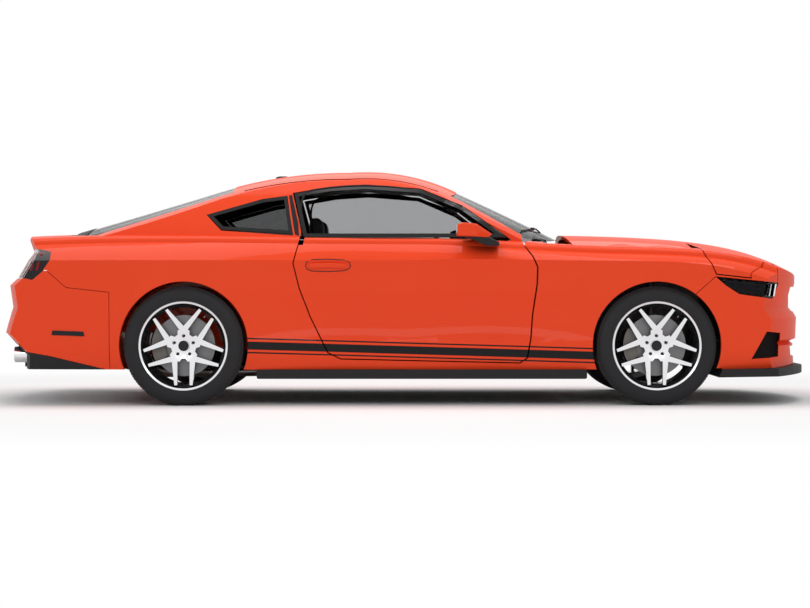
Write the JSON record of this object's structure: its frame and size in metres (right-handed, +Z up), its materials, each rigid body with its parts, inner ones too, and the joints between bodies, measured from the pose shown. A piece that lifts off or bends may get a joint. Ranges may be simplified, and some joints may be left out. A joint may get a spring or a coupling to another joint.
{
  "type": "two-door fastback muscle car",
  "caption": "Low two-door fastback coupe with opening doors, hood and deck lid, steered front wheels and turning wheels.",
  "frame": {"origin": "on the ground, below the middle of the car", "axes": "+X to the nose, +Y to the car's left side, +Z up"},
  "size_m": [4.827, 2.19, 1.3816],
  "materials": {
    "paint": "gloss orange paint",
    "trim": "satin black plastic",
    "glass": "tinted glass",
    "lamp": "smoked clear plastic",
    "lamp_red": "red clear plastic",
    "underbody": "dark sheet metal",
    "iron": "bare cast iron",
    "steel": "brushed steel",
    "seat": "black leather",
    "tyre": "black rubber",
    "rim": "machined alloy with gloss black pockets"
  },
  "bodies": {
    "body": {"body_shell": "paint", "roof_panel": "paint", "rear_bulkhead": "underbody", "firewall": "underbody", "bay_frame": "paint", "floor_pan": "underbody", "front_fenders": "paint", "front_bumper": "paint", "front_splitter": "trim", "grilles": "trim", "headlamps": "lamp", "cowl_panel": "trim", "windshield": "glass", "quarter_glasses": "glass", "rear_window": "glass", "tail_lamps": "lamp_red", "rear_bumper": "paint", "rear_valance": "trim", "side_skirts": "trim", "engine_block": "iron", "front_subframe": "iron", "rear_subframe": "iron", "exhaust_pipes": "steel", "mufflers": "steel", "exhaust_tips": "steel", "dashboard": "trim", "front_seats": "seat", "rear_seat": "seat"},
    "hood": {"hood": "paint"},
    "deck_lid": {"deck_lid": "paint"},
    "steering_wheel": {"steering_wheel": "trim"},
    "knuckle_left": {"knuckle_left": "iron"},
    "knuckle_right": {"knuckle_right": "iron"},
    "door_left": {"door_left": "paint", "door_glass_left": "glass", "mirror_left": "paint"},
    "wheel_front_left": {"tyre_front_left": "tyre", "rim_front_left": "rim", "disc_front_left": "steel"},
    "wheel_rear_left": {"tyre_rear_left": "tyre", "rim_rear_left": "rim", "disc_rear_left": "steel"},
    "door_right": {"door_right": "paint", "door_glass_right": "glass", "mirror_right": "paint"},
    "wheel_front_right": {"tyre_front_right": "tyre", "rim_front_right": "rim", "disc_front_right": "steel"},
    "wheel_rear_right": {"tyre_rear_right": "tyre", "rim_rear_right": "rim", "disc_rear_right": "steel"}
  },
  "joints": [
    {"name": "door_left_hinge", "type": "hinge", "parent": "body", "child": "door_left", "pos_m": [0.674, 0.878, 0.546], "axis": [0, 0, -1], "range_deg": [0, 68]},
    {"name": "steer_left", "type": "hinge", "parent": "body", "child": "knuckle_left", "pos_m": [1.4435, 0.738, 0.343], "axis": [0, 0, 1], "range_deg": [-33, 33]},
    {"name": "wheel_front_left_spin", "type": "hinge", "parent": "knuckle_left", "child": "wheel_front_left", "pos_m": [1.4435, 0.791, 0.343], "axis": [0, 1, 0], "continuous": true},
    {"name": "wheel_rear_left_spin", "type": "hinge", "parent": "body", "child": "wheel_rear_left", "pos_m": [-1.2765, 0.824, 0.343], "axis": [0, 1, 0], "continuous": true},
    {"name": "door_right_hinge", "type": "hinge", "parent": "body", "child": "door_right", "pos_m": [0.674, -0.878, 0.546], "axis": [0, 0, 1], "range_deg": [0, 68]},
    {"name": "steer_right", "type": "hinge", "parent": "body", "child": "knuckle_right", "pos_m": [1.4435, -0.738, 0.343], "axis": [0, 0, 1], "range_deg": [-33, 33]},
    {"name": "wheel_front_right_spin", "type": "hinge", "parent": "knuckle_right", "child": "wheel_front_right", "pos_m": [1.4435, -0.791, 0.343], "axis": [0, 1, 0], "continuous": true},
    {"name": "wheel_rear_right_spin", "type": "hinge", "parent": "body", "child": "wheel_rear_right", "pos_m": [-1.2765, -0.824, 0.343], "axis": [0, 1, 0], "continuous": true},
    {"name": "hood_hinge", "type": "hinge", "parent": "body", "child": "hood", "pos_m": [0.785, 0, 0.884], "axis": [0, -1, 0], "range_deg": [0, 50]},
    {"name": "deck_lid_hinge", "type": "hinge", "parent": "body", "child": "deck_lid", "pos_m": [-1.805, 0, 0.95], "axis": [0, 1, 0], "range_deg": [0, 60]},
    {"name": "steering_wheel_turn", "type": "hinge", "parent": "body", "child": "steering_wheel", "pos_m": [0.13, 0.37, 0.83], "axis": [-0.9272, 0, 0.3746], "range_deg": [-500, 500]}
  ],
  "couplings": [
    {"joint": "steer_right", "follows": "steer_left", "ratio": 1},
    {"joint": "steering_wheel_turn", "follows": "steer_left", "ratio": 15}
  ]
}
